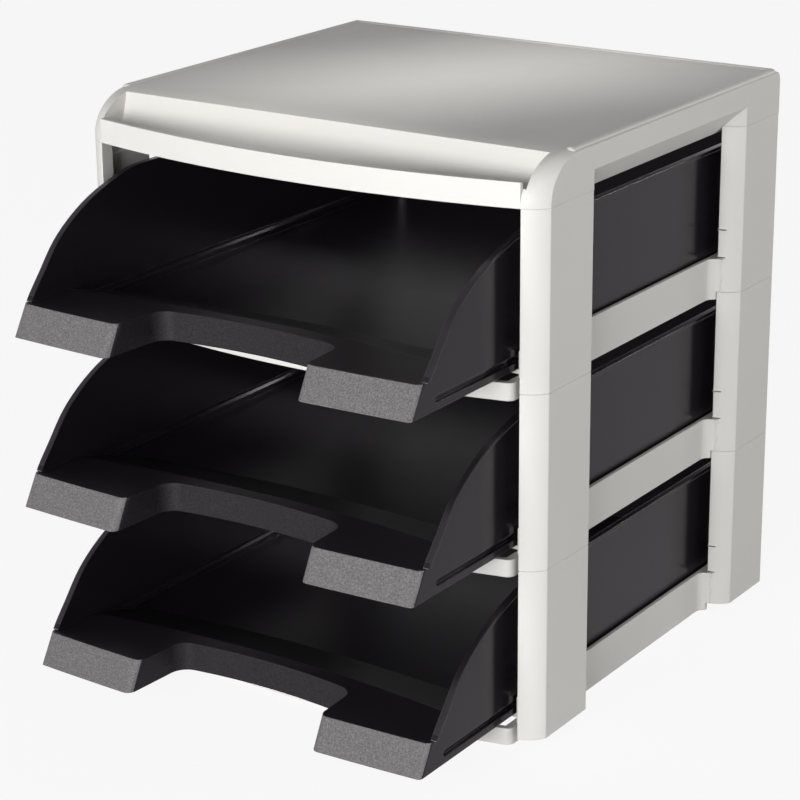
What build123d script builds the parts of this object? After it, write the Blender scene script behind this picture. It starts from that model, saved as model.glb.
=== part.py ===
"""Letter tray stack: three stacking frame levels, three sliding trays and a top cover.

Millimetres. X is the width, Y runs from the front (negative) to the back, Z is up.
The bow, window and trough positions are first written against the frame's front
corner line (y = 0) and each level's own base plane; main() then moves them to the
part's frame, whose origin is the centre of the bottom of the bounding box.
"""

import math
import os

from build123d import *

# ---- frame levels ----
LEVELS = ("bottom", "middle", "top")
FRAME_W = 285.0            # over the outer faces of the posts
PITCH = 93.8               # height of one level
WALL = 2.5                 # wall of the frame mouldings
POST_T = 11.7              # width of a post seen from the front
FRONT_NOSE = 8.3           # inner edge of a front post stands this far before the corner line
FRONT_POST_D = 42.0        # flat side of a front post
FRAME_D = 246.0            # corner line to the back of the frame
REAR_POST_D = 39.0         # flat side of a rear post
REAR_NOSE = 6.7            # inner edge of a rear post stands this far before its flat side
RETURN = 9.0               # depth of the lip along the inner edge of a post
RAIL_IN = 15.4             # outer face of a side rail, in from the posts' outer face
RAIL_TOP = 19.0            # top of a side rail above the base plane
DROP = 4.5                 # the rails hang this far below the foot of the posts
LEDGE = 9.6                # width of the ledge under a tray
LEDGE_TOP = 8.6            # the tray's skirts stand just over this
RIB_T = 2.0                # ribs inside the post channels
TICK_Z = (19.7, 35.5)      # small ridges on the noses of the rear posts
TICK = 0.5
GUSSET = 3.0               # height of the two stiffeners across the wall of a post
RUNNER = 3.0               # height of the guide runner that enters a tray's groove
RUNNER_REACH = 2.7         # how far the runner stands off the rail
SPIGOT_UP = 6.0            # spigots of a level reach this far into the next one
SPIGOT_DOWN = 9.0
SPIGOT_T = 2.0
FIT = 0.15                 # clearance of parts plugged together

# ---- cross rails ----
BOW = 15.3                 # the front rails and the cover's lip bow forward by this
CROSS_TOP = 5.0
CROSS_T = 2.6
LAP = 24.0                 # length of the plate that laps a side rail
LAP_T = 2.2
BOSS_D = 4.0               # snap boss of a lap plate
LAP_BOSS = 15.0            # its distance from the end of the frame

# ---- top cover ----
COVER_H = 25.1             # above the seam on the posts
BEAD_UP = 0.8              # rounded bead round the panel, above it
BEAD_R = 2.8
BEAD_IN = 3.5              # its middle line, in from the side faces
BEAD_START = 22.0          # rounded front ends of the bead
SHOULDER_W = 5.8           # the sides round off over this width
SHOULDER_DROP = 1.5        # side faces end this far under the panel
PANEL_FRONT = 16.5         # front edge of the top panel
LIP_H = 13.0
TROUGH_Z = 6.8             # floor of the pen trough
TROUGH_R = 6.5
TROUGH_LEAN = 4.9          # its rear wall leans back by this
CHEEK_IN = 10.0            # inner faces of the cheeks, in from the side faces
NOSE_Y = 28.0              # axis of the cheeks' rounded front
NOSE_Z = 1.0
RECESS_TOP = 10.6          # the side hollow between the posts begins here
REAR_R = 6.0
SKIRT_LAP = 12.0           # the cover's side skirts run this far behind the posts

# ---- trays ----
TRAY_IN = 19.0             # side walls stand this far in from the frame's outer faces
TRAY_L = 352.0
TRAY_WALL = 2.2
TRAY_BOTTOM = 9.0
TRAY_TOP = 79.5
TRAY_FLOOR = 14.0          # upper face of the floor
FRONT_TOP = 25.0           # upper edge of the front
FRONT_END = -92.6          # lower front corners
FRONT_BOW = 3.9
FRONT_RAKE = 9.3
LEDGE_BACK = -41.0         # back of the flat front deck, on the middle plane
RAMP_FOOT = -3.5
DECK_BOW = 10.0            # deck and ramp lines come forward by this at the walls
SWEEP = ((-80.0, 25.0), (-69.7, 37.5), (-59.0, 50.0), (-44.0, 61.5), (-25.0, 70.8), (-5.0, 76.8))
SWEEP_END = 14.0
FLANGE = 1.2
FLANGE_T = 2.0
GROOVE_START = -72.0
GROOVE_DEPTH = 2.4
GROOVE_PLAY = 0.4          # play above and below the runner
CUT_HALF = 59.5            # half width of the finger cut-out before the front
CUT_BACK = -49.5
CUT_R = 10.0
CUT_EDGE = 4.5             # rounding where the cut-out meets the front
CREASE = 2.0               # rounding of the deck's back line and the ramp's foot
TRAY_R = 12.0              # rear corners
OUT_AT_REST = {"bottom": 0.0, "middle": 5.7, "top": 5.7}

HALF = FRAME_W / 2
RAIL_X = HALF - RAIL_IN
LEDGE_X = RAIL_X - LEDGE
CHEEK_X = HALF - CHEEK_IN
PANEL_Z = COVER_H - BEAD_UP
POST_IN = HALF - POST_T
REAR_FLAT = FRAME_D - REAR_POST_D
REAR_IN = REAR_FLAT - REAR_NOSE
FRONT_MIN = FRONT_END - FRONT_BOW
SEAM = DROP + PITCH * len(LEVELS)
RUNNER_Z = TRAY_FLOOR + 0.6


def base(level):
    return DROP + PITCH * LEVELS.index(level)


def block(x0, x1, y0, y1, z0, z1):
    size = Box(x1 - x0, y1 - y0, z1 - z0, align=(Align.MIN, Align.MIN, Align.MIN))
    return Pos(x0, y0, z0) * size


def polygon(points):
    return make_face(Polyline(*points, close=True))


def upright(face, z0, z1):
    """A plan outline drawn at z = 0, raised from z0 to z1."""
    return extrude(Pos(0, 0, z0) * face, z1 - z0, dir=(0, 0, 1))


def across(points, x0, x1):
    """A (y, z) outline extruded along X."""
    outline = [(x0, y, z) for y, z in points]
    return extrude(polygon(outline), x1 - x0, dir=(1, 0, 0))


def along(points, y0, y1):
    """An (x, z) outline extruded along Y."""
    outline = [(x, y0, z) for x, z in points]
    return extrude(polygon(outline), y1 - y0, dir=(0, 1, 0))


def both_sides(shape):
    return shape + mirror(shape, about=Plane.YZ)


# ---- plan outlines of the posts (right-hand side) ----
FRONT_FACE = ((POST_IN, -FRONT_NOSE), (POST_IN + 0.57 * POST_T, -0.57 * FRONT_NOSE), (HALF, 1.0))
REAR_FACE = ((POST_IN, REAR_IN), (POST_IN + 0.55 * POST_T, REAR_IN + 0.32 * REAR_NOSE), (HALF, REAR_FLAT))


def circle_through(a, b, c):
    """Centre and radius of the circle through three plan points."""
    d = 2 * (a[0] * (b[1] - c[1]) + b[0] * (c[1] - a[1]) + c[0] * (a[1] - b[1]))
    aa, bb, cc = (p[0] ** 2 + p[1] ** 2 for p in (a, b, c))
    x = (aa * (b[1] - c[1]) + bb * (c[1] - a[1]) + cc * (a[1] - b[1])) / d
    y = (aa * (c[0] - b[0]) + bb * (a[0] - c[0]) + cc * (b[0] - a[0])) / d
    return x, y, math.hypot(a[0] - x, a[1] - y)


def post_face(points, inset):
    """The curved front of a post, moved inwards by inset: start, middle and end."""
    x, y, radius = circle_through(*points)
    radius -= inset
    left = POST_IN + inset
    right = HALF - inset
    middle = (left + right) / 2
    return [(px, y - math.sqrt(radius ** 2 - (px - x) ** 2)) for px in (left, middle, right)]


def post_plan(points, inset, back):
    start, middle, end = post_face(points, inset)
    return make_face([
        ThreePointArc(start, middle, end),
        Line(end, (HALF - inset, back)),
        Line((HALF - inset, back), (POST_IN + inset, back)),
        Line((POST_IN + inset, back), start),
    ])


def front_post_plan(inset=0.0, back=FRONT_POST_D):
    return post_plan(FRONT_FACE, inset, back)


def rear_post_plan(inset=0.0):
    return post_plan(REAR_FACE, inset, FRAME_D - inset)


def post(plan, mouth, height):
    """A post: channel open towards the trays."""
    walls = upright(plan(), 0, height) - upright(plan(WALL), -1, height + 1)
    return walls - block(POST_IN - 1, POST_IN + WALL + 0.5, mouth[0], mouth[1], -1, height + 1)


def spigot(plan, mouth):
    """Liner in the top of a post; its upper part enters the channel of the level above."""
    core = upright(plan(WALL + FIT + SPIGOT_T), -1, PITCH + SPIGOT_UP + 1)
    liner = upright(plan(WALL - 0.05), PITCH - SPIGOT_DOWN, PITCH)
    liner += upright(plan(WALL + FIT), PITCH - 1, PITCH + SPIGOT_UP)
    throat = POST_IN + WALL + FIT + SPIGOT_T + 0.5
    return liner - core - block(POST_IN - 1, throat, mouth[0], mouth[1], 0, PITCH + SPIGOT_UP + 1)


# ---- side frame ----
def side_rail():
    """Side rail with its tray ledge and guide runner; it turns out into the rear post."""
    rail_in = RAIL_X - WALL
    rail = block(rail_in, RAIL_X, 1.0, FRAME_D, -DROP, RAIL_TOP)
    turn = POST_IN - RAIL_X + 2.2
    cove = block(RAIL_X - 0.5, RAIL_X + turn, REAR_IN - turn, REAR_IN + 2.0, 0, RAIL_TOP)
    cove += block(RAIL_X - 0.5, POST_IN - 2 * FIT, REAR_IN - turn, REAR_IN + 2.0, -DROP, 1.0)
    cove -= upright(Pos(RAIL_X + turn, REAR_IN - turn) * Circle(turn), -DROP - 1, RAIL_TOP + 1)
    ledge = block(LEDGE_X, RAIL_X - 0.5, 3.0, FRAME_D, LEDGE_TOP - WALL, LEDGE_TOP)
    low = RUNNER_Z - RUNNER / 2
    high = RUNNER_Z + RUNNER / 2
    runner = block(rail_in - RUNNER_REACH, RAIL_X - 0.5, 6.0, FRAME_D - 3, low, high)
    runner = chamfer(runner.edges().filter_by(Axis.Z).group_by(Axis.X)[0], 1.8)
    for y in (LAP_BOSS, FRAME_D - LAP_BOSS):
        hole = Cylinder(BOSS_D / 2 + FIT, 2 * WALL + 2)
        rail -= Pos(RAIL_X - WALL / 2, y, (CROSS_TOP - DROP) / 2) * Rot(0, 90, 0) * hole
    return rail + cove + ledge + runner


def side_frame():
    """Right-hand side frame of one level, on its own base plane."""
    front_mouth = (RETURN - FRONT_NOSE, FRONT_POST_D + 1)
    rear_mouth = (REAR_IN + RETURN, FRAME_D - RETURN)
    front = post(front_post_plan, front_mouth, PITCH)
    front -= block(POST_IN - 1, HALF - WALL, FRONT_POST_D - WALL - 1, FRONT_POST_D + 1, -1, PITCH + 1)
    rear = post(rear_post_plan, rear_mouth, PITCH)
    frame = front + rear + side_rail()
    bridges = (SPIGOT_UP + 1.0, RAIL_TOP - RIB_T)
    clear = block(POST_IN, HALF - WALL - GUSSET, -FRONT_NOSE, FRAME_D, 0, PITCH)
    for z in bridges + (PITCH / 3, 2 * PITCH / 3, PITCH - SPIGOT_DOWN - RIB_T):
        rib = upright(front_post_plan(WALL - 0.05, FRONT_POST_D - 4.0), z, z + RIB_T)
        rib += upright(rear_post_plan(WALL - 0.05), z, z + RIB_T)
        frame += rib if z in bridges else rib - clear
    for z in bridges:
        frame += block(RAIL_X - 0.5, POST_IN + WALL + 1, 4.0, FRONT_POST_D - 4.0, z, z + RIB_T)
        frame += block(RAIL_X - 0.5, POST_IN + WALL + 1, REAR_IN, FRAME_D - WALL, z, z + RIB_T)
    frame += spigot(front_post_plan, (front_mouth[0], FRONT_POST_D))
    frame += spigot(rear_post_plan, rear_mouth)
    for z in TICK_Z:
        ridge = upright(rear_post_plan(-TICK / 2), z, z + TICK)
        frame += ridge & block(POST_IN - TICK, POST_IN + 4.5, REAR_IN - 2, REAR_IN + 4, 0, PITCH)
    return frame


# ---- cross rails ----
def bow_line(half, front, inset=0.0):
    """Plan arc across the front, its ends at x = half and y = front."""
    ends = front + inset
    return ThreePointArc((-half, ends), (0, ends - BOW), (half, ends))


def lap_plates(y0, y1, boss_y):
    """Plates that lie on the inner faces of the side rails, each with a snap boss."""
    outer = RAIL_X - WALL - FIT
    plates = block(outer - LAP_T, outer, y0, y1, -DROP, CROSS_TOP)
    boss = Cylinder(BOSS_D / 2, WALL)
    boss = chamfer(boss.edges().group_by(Axis.Z)[-1], 0.5)
    centre = (outer - 0.6 + WALL / 2, boss_y, (CROSS_TOP - DROP) / 2)
    return both_sides(plates + Pos(*centre) * Rot(0, 90, 0) * boss)


def front_rail():
    """Bowed rail under the tray fronts, rounded into the side rails at its ends."""
    front = bow_line(RAIL_X, -FRONT_NOSE)
    back = 1.0 - 2 * FIT
    edges = [
        front,
        Line(front @ 1, (RAIL_X, back)),
        Line((RAIL_X, back), (-RAIL_X, back)),
        Line((-RAIL_X, back), front @ 0),
    ]
    outline = make_face(edges)
    outline = fillet([v for v in outline.vertices() if v.Y < -1], 4.5)
    inner_half = RAIL_X - WALL - FIT - LAP_T
    inner = bow_line(inner_half, -FRONT_NOSE, CROSS_T)
    hollow = make_face([
        inner,
        Line(inner @ 1, (inner_half, 10)),
        Line((inner_half, 10), (-inner_half, 10)),
        Line((-inner_half, 10), inner @ 0),
    ])
    shelf_line = bow_line(inner_half, -FRONT_NOSE, CROSS_T + 9.0)
    shelf = hollow - make_face([
        shelf_line,
        Line(shelf_line @ 1, (inner_half, 40)),
        Line((inner_half, 40), (-inner_half, 40)),
        Line((-inner_half, 40), shelf_line @ 0),
    ])
    rail = upright(outline - hollow, -DROP, CROSS_TOP)
    rail += upright(shelf, -DROP, -DROP + 2.2)
    return rail + lap_plates(-4.0, 1.0 + LAP, LAP_BOSS)


def rear_rail():
    """Straight rail across the back."""
    inner_half = RAIL_X - WALL - FIT
    rail = block(-inner_half, inner_half, FRAME_D - CROSS_T, FRAME_D, -DROP, CROSS_TOP)
    rail += block(-inner_half, inner_half, FRAME_D - 13.0, FRAME_D, -DROP, -DROP + 2.2)
    return rail + lap_plates(FRAME_D - LAP, FRAME_D, FRAME_D - LAP_BOSS)


# ---- top cover ----
def nose_section(angle):
    """Radial section of the cover's rounded front, angle 0 facing forward, 90 facing up."""
    c = math.cos(math.radians(angle))
    s = math.sin(math.radians(angle))
    side_y = NOSE_Y - 1.0
    side_z = PANEL_Z - SHOULDER_DROP - NOSE_Z
    crest_y = NOSE_Y + FRONT_NOSE
    crest_z = PANEL_Z - NOSE_Z
    side_r = side_y * side_z / math.hypot(side_z * c, side_y * s)
    crest_r = crest_y * crest_z / math.hypot(crest_z * c, crest_y * s)
    crest_x = POST_IN + (HALF - SHOULDER_W - POST_IN) * angle / 90
    mid_x = crest_x + 0.57 * (HALF - crest_x)
    mid_r = crest_r - (crest_r - side_r) * (0.385 - 0.19 * angle / 90)
    core = 3.0

    def at(x, r):
        return (x, NOSE_Y - r * c, NOSE_Z + r * s)

    return make_face([
        Line(at(-HALF, core), at(HALF, core)),
        Line(at(HALF, core), at(HALF, side_r)),
        ThreePointArc(at(HALF, side_r), at(mid_x, mid_r), at(crest_x, crest_r)),
        Line(at(crest_x, crest_r), at(-crest_x, crest_r)),
        ThreePointArc(at(-crest_x, crest_r), at(-mid_x, mid_r), at(-HALF, side_r)),
        Line(at(-HALF, side_r), at(-HALF, core)),
    ])


def cover_outside():
    """Outer form of the cover: rounded nose, flat top and straight skirts."""
    nose = loft([nose_section(a) for a in (0, 15, 30, 45, 60, 75, 90)])
    foot = extrude(nose.faces().sort_by(Axis.Z)[0], NOSE_Z, dir=(0, 0, -1))
    body = extrude(nose.faces().sort_by(Axis.Y)[-1], FRAME_D - NOSE_Y, dir=(0, 1, 0))
    body += block(-HALF, HALF, NOSE_Y, FRAME_D, 0, NOSE_Z + 3.2)
    heel = block(-HALF, HALF, NOSE_Y - 3.2, NOSE_Y + 1, 0, NOSE_Z + 3.2)
    solid = nose + foot + body + heel
    end = FRAME_D - REAR_R
    keep = block(-HALF - 1, HALF + 1, -FRONT_NOSE - 1, end, -1, PANEL_Z)
    keep += block(-HALF - 1, HALF + 1, end - 1, FRAME_D, -1, PANEL_Z - REAR_R)
    keep += Pos(0, end, PANEL_Z - REAR_R) * Rot(0, 90, 0) * Cylinder(REAR_R, FRAME_W + 2)
    return solid & keep


def bead():
    """Rounded bead along the sides and the back of the panel, with round front ends."""
    x = HALF - BEAD_IN
    back = FRAME_D - BEAD_IN - 1.0
    front = BEAD_START + BEAD_R
    side = Cylinder(BEAD_R, back - front, align=(Align.CENTER, Align.CENTER, Align.MIN))
    side = Pos(x, front, 0) * Rot(-90, 0, 0) * side
    side += Pos(x, front, 0) * Sphere(BEAD_R) + Pos(x, back, 0) * Sphere(BEAD_R)
    whole = both_sides(side) + Pos(0, back, 0) * Rot(0, 90, 0) * Cylinder(BEAD_R, 2 * x)
    return Pos(0, 0, COVER_H - BEAD_R) * whole


def trough_air():
    """Space over the pen trough, behind the lip."""
    foot = PANEL_FRONT - TROUGH_LEAN
    front = -FRONT_NOSE - BOW - 1
    top = COVER_H + 1
    floor = [(front, TROUGH_Z), (foot, TROUGH_Z), (PANEL_FRONT, PANEL_Z), (PANEL_FRONT, top), (front, top)]
    air = across(floor, -CHEEK_X, CHEEK_X)
    corner = [e for e in air.edges().filter_by(Axis.X) if abs(e.center().Y - foot) < 0.1]
    return fillet(corner, TROUGH_R)


def lip_plan(side, inset, back):
    """Plan from the bowed front, moved in by inset, to y = back; narrower by side at each end."""
    half = POST_IN - side
    line = bow_line(half, -FRONT_NOSE, inset)
    return make_face([
        line,
        Line(line @ 1, (half, back)),
        Line((half, back), (-half, back)),
        Line((-half, back), line @ 0),
    ])


def top_cover():
    """Top cover, on the seam plane of the uppermost posts."""
    outside = cover_outside()
    solid = outside - trough_air()
    solid += upright(lip_plan(0, 0, 0), 0, TROUGH_Z)
    solid += upright(lip_plan(0, 0, 0) - lip_plan(-1, CROSS_T, 1), 0, LIP_H)
    lip_end = block(POST_IN - 2, CHEEK_X, -FRONT_NOSE, CROSS_T - FRONT_NOSE, 0, LIP_H)
    solid += both_sides(outside & lip_end)
    # side hollows between the posts, running out at the rear posts
    slope = [(RAIL_X, -DROP), (HALF, RECESS_TOP), (HALF + WALL, RECESS_TOP), (HALF + WALL, -DROP)]
    hollow = along(slope, FRONT_POST_D, REAR_FLAT + 2) - upright(rear_post_plan(), -DROP, COVER_H)
    skirt = block(RAIL_X - WALL, RAIL_X, FRONT_POST_D - SKIRT_LAP, REAR_IN + SKIRT_LAP, -DROP, 3.0)
    solid += both_sides(skirt)
    solid += block(-HALF, HALF, FRONT_POST_D, REAR_IN, -DROP, 0.5)
    solid -= both_sides(hollow)
    # inside
    deck = PANEL_Z - WALL
    inner = RAIL_X - WALL - 0.6
    low = -DROP - 1
    room = [(-inner, low), (inner, low), (inner, -DROP + 0.5), (HALF - WALL, RECESS_TOP + 1.0),
            (HALF - WALL, deck), (-HALF + WALL, deck), (-HALF + WALL, RECESS_TOP + 1.0),
            (-inner, -DROP + 0.5)]
    air = along(room, PANEL_FRONT + 2 * WALL, FRAME_D - WALL)
    air += upright(lip_plan(WALL, WALL, FRONT_POST_D), -DROP - 1, TROUGH_Z - 2.4)
    for plan in (front_post_plan, rear_post_plan):
        air += both_sides(upright(plan(WALL), -DROP - 1, TROUGH_Z + 0.2))
    return solid - air + bead()


# ---- trays ----
TRAY_HALF = HALF - TRAY_IN
TRAY_BACK = FRONT_MIN + TRAY_L
SKIRT = TRAY_WALL + GROOVE_DEPTH
DECK_R = (TRAY_HALF ** 2 + DECK_BOW ** 2) / (2 * DECK_BOW)


def tray_front_plan(rake):
    """Plan of the tray at one height; rake moves the bowed front back."""
    front = FRONT_END + rake
    line = ThreePointArc((-TRAY_HALF, front), (0, front - FRONT_BOW), (TRAY_HALF, front))
    outline = make_face([
        line,
        Line(line @ 1, (TRAY_HALF, 0)),
        Line((TRAY_HALF, 0), (-TRAY_HALF, 0)),
        Line((-TRAY_HALF, 0), line @ 0),
    ])
    return fillet([v for v in outline.vertices() if v.Y < -1], 2.5)


def long_plan(inset, front):
    """Plan with rounded rear corners, from y = front to the back of the tray."""
    half = TRAY_HALF - inset
    back = TRAY_BACK - inset
    outline = polygon([(-half, front), (half, front), (half, back), (-half, back)])
    return fillet([v for v in outline.vertices() if v.Y > 0], TRAY_R - inset)


def cut_plan(grow=0.0):
    """Plan of the finger cut-out, open to the front."""
    side = CUT_HALF - 3.0
    front = FRONT_MIN - 10
    outline = make_face([
        Line((-CUT_HALF, front), (-side, CUT_BACK - 5)),
        ThreePointArc((-side, CUT_BACK - 5), (0, CUT_BACK), (side, CUT_BACK - 5)),
        Line((side, CUT_BACK - 5), (CUT_HALF, front)),
        Line((CUT_HALF, front), (-CUT_HALF, front)),
    ])
    outline = fillet([v for v in outline.vertices() if v.Y > CUT_BACK - 6], CUT_R)
    if grow:
        outline = offset(outline, amount=grow, kind=Kind.ARC)
    return outline


def sweep_outline(inset=0.0):
    """Side view of the walls: curved up from the front deck, then level."""
    level = TRAY_TOP - inset
    points = [(y + inset * 0.75, z - inset * 0.6) for y, z in SWEEP]
    curve = Spline(*[(0, y, z) for y, z in points], (0, SWEEP_END, level),
                   tangents=((0, 0.55, 0.83), (0, 1, 0)))
    start = curve @ 0
    foot = (0, start.Y, 5.0)
    return make_face([
        curve,
        Line((0, SWEEP_END, level), (0, TRAY_BACK + 5, level)),
        Line((0, TRAY_BACK + 5, level), (0, TRAY_BACK + 5, 5.0)),
        Line((0, TRAY_BACK + 5, 5.0), foot),
        Line(foot, start),
    ])


def slab_across(face, half):
    return extrude(Pos(-half, 0, 0) * face, 2 * half, dir=(1, 0, 0))


def over_deck(lower, air):
    """Everything above (or under) the swept line of deck, ramp and floor."""
    centre = LEDGE_BACK - DECK_R
    deck = FRONT_TOP - lower
    floor = TRAY_FLOOR - lower
    near = DECK_R + FRONT_MIN - LEDGE_BACK - 20
    far = DECK_R + TRAY_L
    back = DECK_R + RAMP_FOOT - LEDGE_BACK
    points = [(near, deck), (DECK_R, deck - 0.4), (back, floor), (far, floor), (far, air), (near, air)]
    section = polygon([(x, 0, z) for x, z in points])
    creases = [v for v in section.vertices() if abs(v.X - DECK_R) < 1 or abs(v.X - back) < 1]
    section = fillet(creases, CREASE)
    turn = 2 * math.degrees(math.asin((HALF + FLANGE) / near))
    return Pos(0, centre, 0) * Rot(0, 0, 90 - turn / 2) * revolve(section, axis=Axis.Z, revolution_arc=turn)


def tray():
    """One tray on its level's base plane, as far out as the upper trays stand."""
    front = loft([
        Pos(0, 0, TRAY_BOTTOM) * tray_front_plan(0),
        Pos(0, 0, FRONT_TOP) * tray_front_plan(FRONT_RAKE),
    ])
    upper = upright(long_plan(0, SWEEP[0][0] - 4), FRONT_TOP - 1, TRAY_TOP)
    upper &= slab_across(sweep_outline(), TRAY_HALF + 1)
    lower = upright(long_plan(0, -1), TRAY_BOTTOM, FRONT_TOP)
    body = front + lower + upper
    brim = upright(long_plan(-FLANGE, SWEEP[0][0] - 4), FRONT_TOP, TRAY_TOP)
    brim &= slab_across(sweep_outline(), TRAY_HALF + FLANGE + 1)
    brim -= slab_across(sweep_outline(FLANGE_T), TRAY_HALF + FLANGE + 2)
    body += brim
    inner = long_plan(TRAY_WALL, FRONT_MIN - 20)
    room = upright(inner, TRAY_FLOOR - 1, TRAY_TOP + 1) & over_deck(0, TRAY_TOP + 5)
    bead_high = RUNNER_Z + RUNNER / 2 + GROOVE_PLAY + TRAY_WALL
    body -= room
    bead = [
        (TRAY_HALF - 0.5, TRAY_FLOOR - 1), (TRAY_HALF - SKIRT, TRAY_FLOOR - 1),
        (TRAY_HALF - SKIRT, bead_high - 1.6), (TRAY_HALF - SKIRT + 1.0, bead_high),
        (TRAY_HALF - 0.5, bead_high + 1.4),
    ]
    body += both_sides(along(bead, GROOVE_START - 4, TRAY_BACK - 6))
    under = upright(long_plan(SKIRT, GROOVE_START - 4), 0, FRONT_TOP) + front_room()
    under -= upright(cut_plan(TRAY_WALL), -1, FRONT_TOP + 1) + over_deck(TRAY_WALL, TRAY_TOP + 5)
    body -= under
    low = RUNNER_Z - RUNNER / 2 - GROOVE_PLAY
    high = RUNNER_Z + RUNNER / 2 + GROOVE_PLAY
    round_end = (high - low) / 2
    slot = block(TRAY_HALF - GROOVE_DEPTH, TRAY_HALF + 1, GROOVE_START + round_end, TRAY_BACK + 1, low, high)
    end = Cylinder(round_end, GROOVE_DEPTH + 1)
    slot += Pos(TRAY_HALF - GROOVE_DEPTH / 2 + 0.5, GROOVE_START + round_end, RUNNER_Z) * Rot(0, 90, 0) * end
    body -= both_sides(slot)
    body -= upright(cut_plan(), 0, TRAY_TOP)
    corners = [e for e in body.edges() if at_cut_corner(e)]
    return fillet(corners, CUT_EDGE)


def at_cut_corner(edge):
    """True for the raked edges between the front faces and the walls of the cut-out."""
    box = edge.bounding_box()
    beside = abs(abs(edge.center().X) - CUT_HALF) < 2
    return beside and box.max.Y < FRONT_END + FRONT_RAKE + 1 and box.size.Z > FRONT_TOP - TRAY_BOTTOM - 1


def front_room():
    """Hollow under the deck, its front wall as raked as the outer face."""
    half = TRAY_HALF - SKIRT
    low = FRONT_END + TRAY_WALL + 0.5
    back = GROOVE_START - 3
    outline = [(low, TRAY_BOTTOM), (low + FRONT_RAKE, FRONT_TOP), (back, FRONT_TOP), (back, 0), (low, 0)]
    return across(outline, -half, half)


# ---- assembly ----
def main():
    os.makedirs("parts", exist_ok=True)
    right = side_frame()
    left = mirror(right, about=Plane.YZ)
    cross_front = front_rail()
    cross_rear = rear_rail()
    sliding = tray()
    reach = max(OUT_AT_REST.values())
    extent = sliding.bounding_box()
    mid = (extent.min.Y + extent.max.Y + reach) / 2
    nodes = {}
    for level in LEVELS:
        at = Pos(0, -mid, base(level))
        nodes[level + "_frame_right"] = at * right
        nodes[level + "_frame_left"] = at * left
        nodes[level + "_rail_front"] = at * cross_front
        nodes[level + "_rail_rear"] = at * cross_rear
        nodes[level + "_tray"] = at * Pos(0, reach - OUT_AT_REST[level], 0) * sliding
    nodes["top_cover"] = Pos(0, -mid, SEAM) * top_cover()
    for name, shape in nodes.items():
        export_step(shape, "parts/" + name + ".step")


if __name__ == "__main__":
    main()
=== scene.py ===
"""Looks of the letter tray stack: moulded plastics, studio light, floor and camera."""
import math

import bpy
from mathutils import Matrix, Quaternion, Vector


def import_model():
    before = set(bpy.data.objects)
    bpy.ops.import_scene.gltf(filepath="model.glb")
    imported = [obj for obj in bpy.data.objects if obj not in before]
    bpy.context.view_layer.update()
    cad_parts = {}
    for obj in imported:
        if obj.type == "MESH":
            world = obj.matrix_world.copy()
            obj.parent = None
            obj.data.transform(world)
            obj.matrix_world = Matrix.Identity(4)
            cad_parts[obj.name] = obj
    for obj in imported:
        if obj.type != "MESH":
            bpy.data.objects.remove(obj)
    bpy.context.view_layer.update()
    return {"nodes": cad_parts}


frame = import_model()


# ---- places of the grain on the trays, in metres ----
# For each level: the height of its foot, and how far its tray stands behind the foremost ones.
LEVELS = {"bottom": (0.0045, 0.0057), "middle": (0.0983, 0.0), "top": (0.1921, 0.0)}
GRAIN_REAR = -0.1288       # depth at which the grain ends, on a foremost tray
GRAIN_TOP = 0.0253         # height at which the grain of the front ends, above the level's foot
CUT_HALF = 0.0590          # half width of the zone round the finger cut-out

# ---- mould edges ----
FRAME_EDGE = 0.00045       # radius on the frame and the cover, in metres
TRAY_EDGE = 0.0009         # radius on the trays, in metres
WELD_GAP = 0.00002         # points closer than this, in metres, become one
FLAT_ANGLE = 0.6           # degrees, faces that differ by less are joined
SHARP_ANGLE = 32           # degrees, edges sharper than this are rounded

# ---- colours, each as the two ends of a slight variation ----
PALE_GREY = ((0.600, 0.585, 0.560, 1), (0.655, 0.640, 0.615, 1))
NEAR_BLACK = ((0.0100, 0.0078, 0.0104, 1), (0.0132, 0.0106, 0.0136, 1))
FRONT_GRAIN = ((0.098, 0.092, 0.094, 1), (0.185, 0.176, 0.179, 1))
CUT_GRAIN = ((0.006, 0.005, 0.006, 1), (0.020, 0.017, 0.020, 1))
FLOOR_GREY = ((0.80, 0.80, 0.80, 1), (0.83, 0.83, 0.83, 1))

# ---- camera ----
PICTURE = 800              # pixels along one side
FOCAL = 2533.2             # focal length in those pixels
SENSOR = 36.0              # width in millimetres
AZIMUTH = 34.291           # degrees, how far round to the right of the front it stands
PITCH = 19.053             # degrees, how far it looks down
ROLL = -0.566              # degrees, more lifts its right side
CAMERA_PLACE = (0.74378, -1.09425, 0.59536)

# ---- sockets of a mix node that share a name, by their place ----
NUMBER_A, NUMBER_B = 2, 3
COLOUR_A, COLOUR_B, COLOUR_OUT = 6, 7, 2


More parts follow.
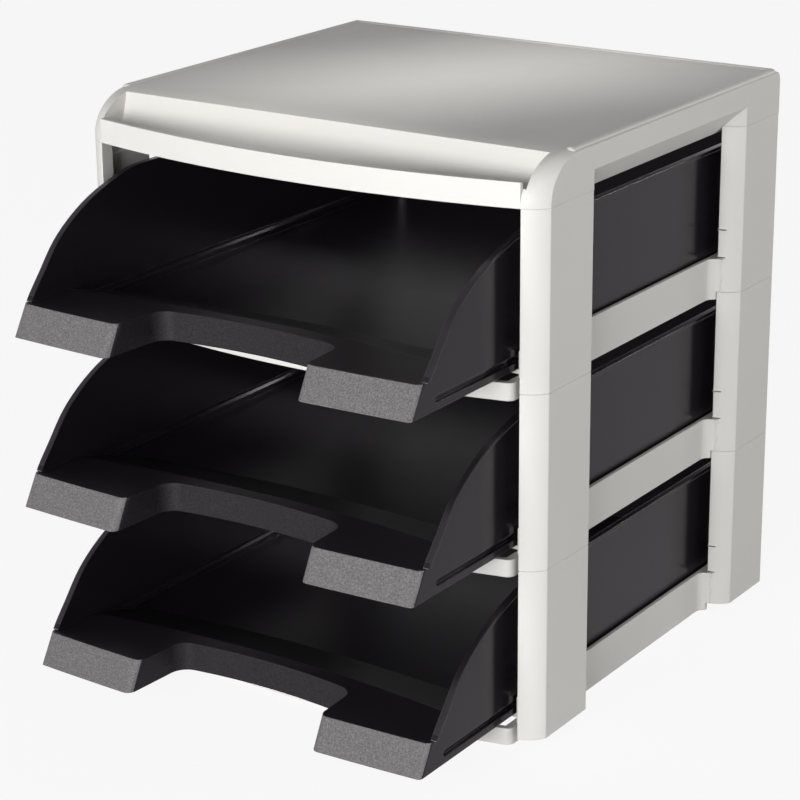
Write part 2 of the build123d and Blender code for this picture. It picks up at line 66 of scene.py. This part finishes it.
# ---- node helpers ----
class Nodes:
    """The node tree of a material or of the world, with short names for the nodes used here."""

    def __init__(self, owner, shader="Principled BSDF"):
        owner.use_nodes = True
        self.owner = owner
        self.tree = owner.node_tree
        self.shader = self.tree.nodes[shader]

    def add(self, kind, **settings):
        node = self.tree.nodes.new(kind)
        for key, value in settings.items():
            setattr(node, key, value)
        return node

    def put(self, socket, value):
        """Another node's output is linked to the socket; any other value is set on it."""
        if isinstance(value, bpy.types.NodeSocket):
            self.tree.links.new(value, socket)
        else:
            socket.default_value = value

    def set(self, name, value):
        """An input of the shader itself."""
        self.put(self.shader.inputs[name], value)

    def math(self, operation, a, b=0.0):
        node = self.add("ShaderNodeMath", operation=operation)
        self.put(node.inputs[0], a)
        self.put(node.inputs[1], b)
        return node.outputs[0]

    def ramp(self, value, low, high, to_low=0.0, to_high=1.0, kind="SMOOTHSTEP"):
        """Values from low to high become values from to_low to to_high."""
        node = self.add("ShaderNodeMapRange", clamp=True, interpolation_type=kind)
        for socket, item in zip(node.inputs, (value, low, high, to_low, to_high)):
            self.put(socket, item)
        return node.outputs[0]

    def split(self, vector):
        node = self.add("ShaderNodeSeparateXYZ")
        self.put(node.inputs[0], vector)
        return node.outputs

    def noise(self, vector, scale, detail=2.0, roughness=0.5):
        node = self.add("ShaderNodeTexNoise", noise_dimensions="3D")
        self.put(node.inputs["Vector"], vector)
        self.put(node.inputs["Scale"], scale)
        self.put(node.inputs["Detail"], detail)
        self.put(node.inputs["Roughness"], roughness)
        return node.outputs["Fac"]

    def mix(self, factor, a, b):
        """A colour between a and b."""
        node = self.add("ShaderNodeMix", data_type="RGBA")
        self.put(node.inputs["Factor"], factor)
        self.put(node.inputs[COLOUR_A], a)
        self.put(node.inputs[COLOUR_B], b)
        return node.outputs[COLOUR_OUT]

    def between(self, factor, a, b):
        """A number between a and b."""
        node = self.add("ShaderNodeMix")
        self.put(node.inputs[0], factor)
        self.put(node.inputs[NUMBER_A], a)
        self.put(node.inputs[NUMBER_B], b)
        return node.outputs[0]

    def round_edges(self, radius):
        """Normals turned as on a mould edge of this radius."""
        node = self.add("ShaderNodeBevel", samples=6)
        self.put(node.inputs["Radius"], radius)
        return node.outputs["Normal"]

    def bump(self, height, strength, distance, normal):
        node = self.add("ShaderNodeBump")
        self.put(node.inputs["Height"], height)
        self.put(node.inputs["Strength"], strength)
        self.put(node.inputs["Distance"], distance)
        self.put(node.inputs["Normal"], normal)
        return node.outputs["Normal"]


def material(name):
    return Nodes(bpy.data.materials.new(name))


# ---- plastics ----
def frame_plastic():
    """Light warm grey moulding: satin, a faint grain and a slight mottling in the colour."""
    n = material("frame plastic")
    place = n.add("ShaderNodeTexCoord").outputs["Object"]
    mottle = n.noise(place, scale=9.0, detail=3.0)
    grain = n.noise(place, scale=1500.0, roughness=0.6)
    flow = n.noise(place, scale=45.0)
    edges = n.round_edges(FRAME_EDGE)
    n.set("Base Color", n.mix(mottle, *PALE_GREY))
    n.set("Roughness", n.ramp(flow, 0.3, 0.7, to_low=0.46, to_high=0.48))
    n.set("IOR", 1.49)
    n.set("Normal", n.bump(grain, strength=0.10, distance=0.0002, normal=edges))
    return n.owner


def tray_zones(n, coords, foot, set_back):
    """Masks of a tray: its grained front faces, the cut-out's wall, and level faces.

    foot is the level's height, and set_back is how far this tray stands behind the foremost
    ones, so that the grained zone follows it.
    """
    x, y, z = n.split(coords.outputs["Object"])
    facing = n.split(coords.outputs["Normal"])
    tilt = n.math("ABSOLUTE", facing["Z"])
    ahead = n.math("LESS_THAN", n.math("SUBTRACT", y, set_back), GRAIN_REAR)
    forward = n.math("LESS_THAN", facing["Y"], -0.35)
    low = n.math("LESS_THAN", z, foot + GRAIN_TOP)
    front_face = n.math("MULTIPLY", n.math("MULTIPLY", ahead, forward), low)
    inside_cut = n.math("LESS_THAN", n.math("ABSOLUTE", x), CUT_HALF)
    upright = n.math("LESS_THAN", tilt, 0.5)
    cut_wall = n.math("MULTIPLY", n.math("MULTIPLY", ahead, inside_cut), upright)
    flat = n.math("GREATER_THAN", tilt, 0.6)
    return front_face, cut_wall, flat


def tray_plastic(level, foot, set_back):
    """Near-black moulding: glossy walls, satin level faces, grain on the front and cut-out."""
    n = material(level + " tray plastic")
    coords = n.add("ShaderNodeTexCoord")
    place = coords.outputs["Object"]
    front_face, cut_wall, flat = tray_zones(n, coords, foot, set_back)
    grained = n.math("MAXIMUM", front_face, cut_wall)
    mottle = n.noise(place, scale=14.0)
    fine = n.noise(place, scale=1150.0, detail=3.0, roughness=0.65)
    wave = n.noise(place, scale=60.0, detail=1.0)
    speck = n.ramp(fine, 0.35, 0.7)
    grain_colour = n.mix(cut_wall, n.mix(speck, *FRONT_GRAIN), n.mix(speck, *CUT_GRAIN))
    gloss = n.ramp(wave, 0.3, 0.7, to_low=0.17, to_high=0.19)
    grain_rough = n.math("ADD", n.math("MULTIPLY", grained, 0.36), gloss)
    edges = n.round_edges(TRAY_EDGE)
    ripple = n.bump(wave, strength=0.03, distance=0.0006, normal=edges)
    grain_depth = n.math("MULTIPLY", grained, 0.55)
    n.set("Base Color", n.mix(grained, n.mix(mottle, *NEAR_BLACK), grain_colour))
    n.set("Roughness", n.math("ADD", n.math("MULTIPLY", flat, 0.13), grain_rough))
    n.set("IOR", 1.50)
    n.set("Specular IOR Level", n.math("ADD", n.math("MULTIPLY", flat, 0.30), 0.24))
    n.set("Specular Tint", (1.0, 0.93, 1.0, 1))
    n.set("Normal", n.bump(fine, strength=grain_depth, distance=0.00035, normal=ripple))
    return n.owner


def soften(obj):
    """Small radii on the straight mould edges, which catch the light as fine lines."""
    weld = obj.modifiers.new("weld", "WELD")
    weld.merge_threshold = WELD_GAP
    plain = obj.modifiers.new("plain", "DECIMATE")
    plain.decimate_type = "DISSOLVE"
    plain.angle_limit = math.radians(FLAT_ANGLE)
    edge = obj.modifiers.new("edge", "BEVEL")
    edge.width = FRAME_EDGE
    edge.segments = 2
    edge.limit_method = "ANGLE"
    edge.angle_limit = math.radians(SHARP_ANGLE)
    edge.use_clamp_overlap = False
    even = obj.modifiers.new("even", "WEIGHTED_NORMAL")
    even.mode = "FACE_AREA"
    even.weight = 80
    even.keep_sharp = False


def dress():
    """Materials for all pieces, and radii for all but the trays and the cover."""
    pale = frame_plastic()
    tray_looks = {
        level + "_tray": tray_plastic(level, foot, set_back)
        for level, (foot, set_back) in LEVELS.items()
    }
    for name, node in frame["nodes"].items():
        node.material_slots[0].material = tray_looks.get(name, pale)
        if name not in tray_looks and name != "top_cover":
            soften(node)


# ---- floor and light ----
def floor():
    """A pale floor that is nearly white to the camera, with a faint shadow on it."""
    half = 7.0
    mesh = bpy.data.meshes.new("floor")
    plan = [(-half, -half, 0), (half, -half, 0), (half, half, 0), (-half, half, 0)]
    mesh.from_pydata(plan, [], [(0, 1, 2, 3)])
    obj = bpy.data.objects.new("floor", mesh)
    bpy.context.scene.collection.objects.link(obj)
    n = material("floor")
    place = n.add("ShaderNodeTexCoord").outputs["Object"]
    n.set("Base Color", n.mix(n.noise(place, scale=3.0), *FLOOR_GREY))
    n.set("Roughness", 0.9)
    n.set("Specular IOR Level", 0.1)
    white = n.add("ShaderNodeEmission")
    n.put(white.inputs["Strength"], 1.0)
    path = n.add("ShaderNodeLightPath")
    seen = n.math("MULTIPLY", path.outputs["Is Camera Ray"], 0.90)
    mirrored = n.math("MULTIPLY", path.outputs["Is Glossy Ray"], 0.5)
    blend = n.add("ShaderNodeMixShader")
    n.put(blend.inputs[0], n.math("MAXIMUM", seen, mirrored))
    n.put(blend.inputs[1], n.shader.outputs[0])
    n.put(blend.inputs[2], white.outputs[0])
    n.put(n.tree.nodes["Material Output"].inputs["Surface"], blend.outputs[0])
    mesh.materials.append(n.owner)


def world():
    """A soft sky, brighter at the horizon; where it is seen or mirrored, it is white there."""
    studio = bpy.data.worlds.new("studio")
    bpy.context.scene.world = studio
    n = Nodes(studio, "Background")
    height = n.split(n.add("ShaderNodeTexCoord").outputs["Generated"])["Z"]
    lit = n.ramp(height, 0.0, 0.9, to_low=0.36, to_high=0.08, kind="LINEAR")
    shown = n.ramp(height, 0.15, 0.80, to_low=1.0, to_high=0.35, kind="LINEAR")
    path = n.add("ShaderNodeLightPath")
    seen = n.math("MAXIMUM", path.outputs["Is Camera Ray"], path.outputs["Is Glossy Ray"])
    n.set("Strength", n.between(seen, lit, shown))
    n.set("Color", (1.0, 1.0, 1.0, 1))


def area(name, place, target, size, power, spread=180.0, turn=0.0):
    """A rectangular lamp in watts; spread narrows its beam and turn rolls it, in degrees."""
    light = bpy.data.lights.new(name, "AREA")
    light.shape = "RECTANGLE"
    light.size, light.size_y = size
    light.energy = power
    light.spread = math.radians(spread)
    obj = bpy.data.objects.new(name, light)
    bpy.context.scene.collection.objects.link(obj)
    obj.location = place
    obj.rotation_mode = "QUATERNION"
    aim = (Vector(target) - Vector(place)).to_track_quat("-Z", "Y")
    obj.rotation_quaternion = aim @ Quaternion((0.0, 0.0, 1.0), math.radians(turn))


def lamps():
    """Key in front, side at the right, edge for the rear edges, top for the cover's panel."""
    area("key", place=(0.35, -2.5, 0.55), target=(0, 0, 0.15), size=(1.7, 1.0), power=73)
    area("side", place=(2.2, 0.3, 0.45), target=(0, 0, 0.15), size=(1.2, 1.0), power=9.5)
    area("edge", place=(1.1, 2.0, 1.0), target=(0, 0, 0.2), size=(0.32, 0.32), power=6)
    area("top", place=(0.0, 0.055, 1.25), target=(0.0, 0.055, 0.3), size=(0.02, 0.26), power=0.063,
         spread=16.0, turn=-28.0)


# ---- camera ----
def camera():
    azimuth, pitch, roll = (math.radians(a) for a in (AZIMUTH, PITCH, ROLL))
    level = Vector((-math.sin(azimuth), math.cos(azimuth), 0.0))
    ahead = level * math.cos(pitch) - Vector((0.0, 0.0, math.sin(pitch)))
    right = Vector((math.cos(azimuth), math.sin(azimuth), 0.0))
    up = right.cross(ahead)
    side = right * math.cos(roll) + up * math.sin(roll)
    top = up * math.cos(roll) - right * math.sin(roll)
    turn = Matrix((side, top, -ahead)).transposed()
    data = bpy.data.cameras.new("camera")
    data.sensor_width = SENSOR
    data.lens = SENSOR * FOCAL / PICTURE
    obj = bpy.data.objects.new("camera", data)
    bpy.context.scene.collection.objects.link(obj)
    obj.matrix_world = Matrix.Translation(CAMERA_PLACE) @ turn.to_4x4()
    bpy.context.scene.camera = obj


dress()
floor()
world()
lamps()
camera()
bpy.context.scene.view_settings.view_transform = "Standard"
